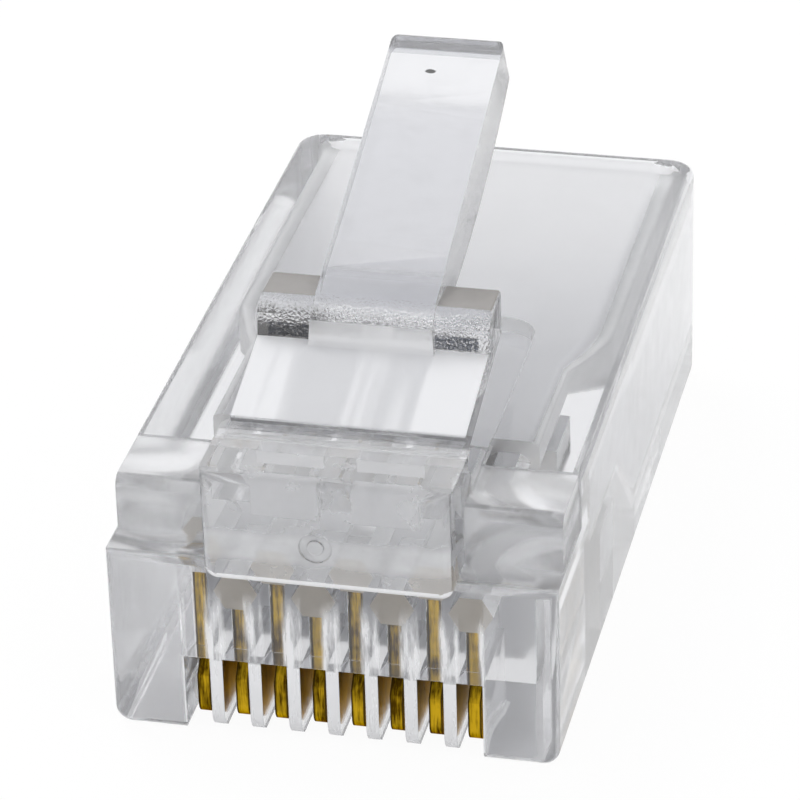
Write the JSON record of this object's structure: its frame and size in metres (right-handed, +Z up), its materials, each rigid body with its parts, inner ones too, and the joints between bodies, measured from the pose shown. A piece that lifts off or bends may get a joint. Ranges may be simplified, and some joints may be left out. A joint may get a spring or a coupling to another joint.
{
  "type": "modular plug",
  "caption": "Clear eight-position modular plug with a flexing latch, staggered wire channels, strain-relief bars and insulation-piercing blade contacts.",
  "frame": {"origin": "middle of the comb's front face at the level of the flat underside", "axes": "+X across the plug, +Y from the contact end back to the cable entry, +Z up towards the latch"},
  "size_m": [0.0116, 0.0216, 0.013],
  "materials": {
    "clear_polycarbonate": "gloss",
    "gold_plate": "satin"
  },
  "bodies": {
    "housing": {"housing": "clear_polycarbonate", "contact_1": "gold_plate", "contact_2": "gold_plate", "contact_3": "gold_plate", "contact_4": "gold_plate", "contact_5": "gold_plate", "contact_6": "gold_plate", "contact_7": "gold_plate", "contact_8": "gold_plate"},
    "latch": {"latch": "clear_polycarbonate"}
  },
  "joints": [
    {"name": "latch_flex", "type": "hinge", "parent": "housing", "child": "latch", "pos_m": [0, 0.0021, 0.00752], "axis": [-1, 0, 0], "range_deg": [0, 18], "stiffness_Nm_per_rad": 0.02}
  ]
}
